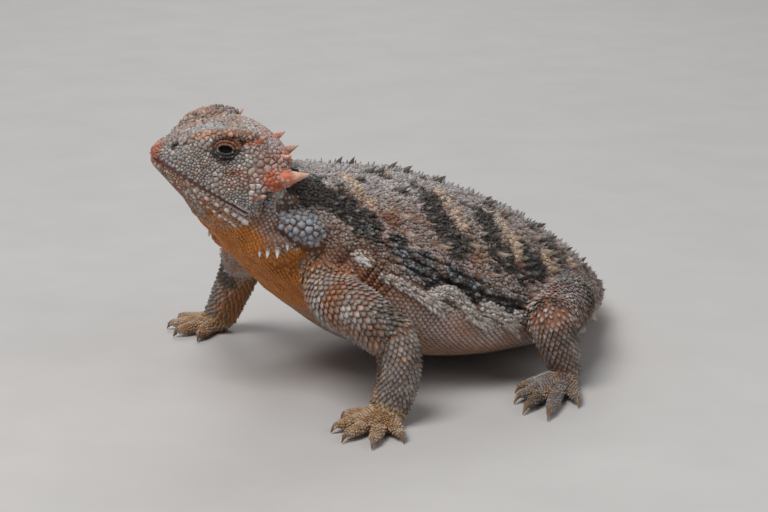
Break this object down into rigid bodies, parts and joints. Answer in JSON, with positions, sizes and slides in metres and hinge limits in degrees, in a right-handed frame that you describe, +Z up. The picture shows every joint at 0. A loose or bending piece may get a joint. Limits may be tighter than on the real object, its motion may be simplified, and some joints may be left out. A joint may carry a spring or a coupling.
{
  "type": "greater short-horned lizard",
  "caption": "Life-size short-horned lizard standing with its head raised, trunk broad and flat with spines and a side fringe, tail curled on the floor.",
  "frame": {"origin": "centre of the bounding box's underside, on the floor", "axes": "+Z up; the animal faces -Y; its left side is +X"},
  "size_m": [0.0692, 0.0804, 0.0374],
  "materials": {
    "skin_grey": "matt scaly skin",
    "skin_sand": "matt scaly skin",
    "skin_orange": "matt scaly skin",
    "horn": "matt horn",
    "eye": "wet gloss"
  },
  "bodies": {
    "root": {"head": "skin_grey", "jaw": "skin_orange", "eye_left": "eye", "eye_right": "eye", "horn_occipital_left": "horn", "horn_occipital_right": "horn", "horn_temporal_left": "horn", "horn_temporal_right": "horn", "neck": "skin_orange", "torso": "skin_grey", "tail_base": "skin_grey", "tail_tip": "skin_grey", "upper_arm_left": "skin_sand", "upper_arm_right": "skin_sand", "forearm_left": "skin_grey", "forearm_right": "skin_grey", "hand_left": "skin_orange", "hand_right": "skin_orange", "thigh_left": "skin_grey", "thigh_right": "skin_grey", "shank_left": "skin_sand", "shank_right": "skin_sand", "foot_left": "skin_grey", "foot_right": "skin_grey"}
  },
  "joints": []
}
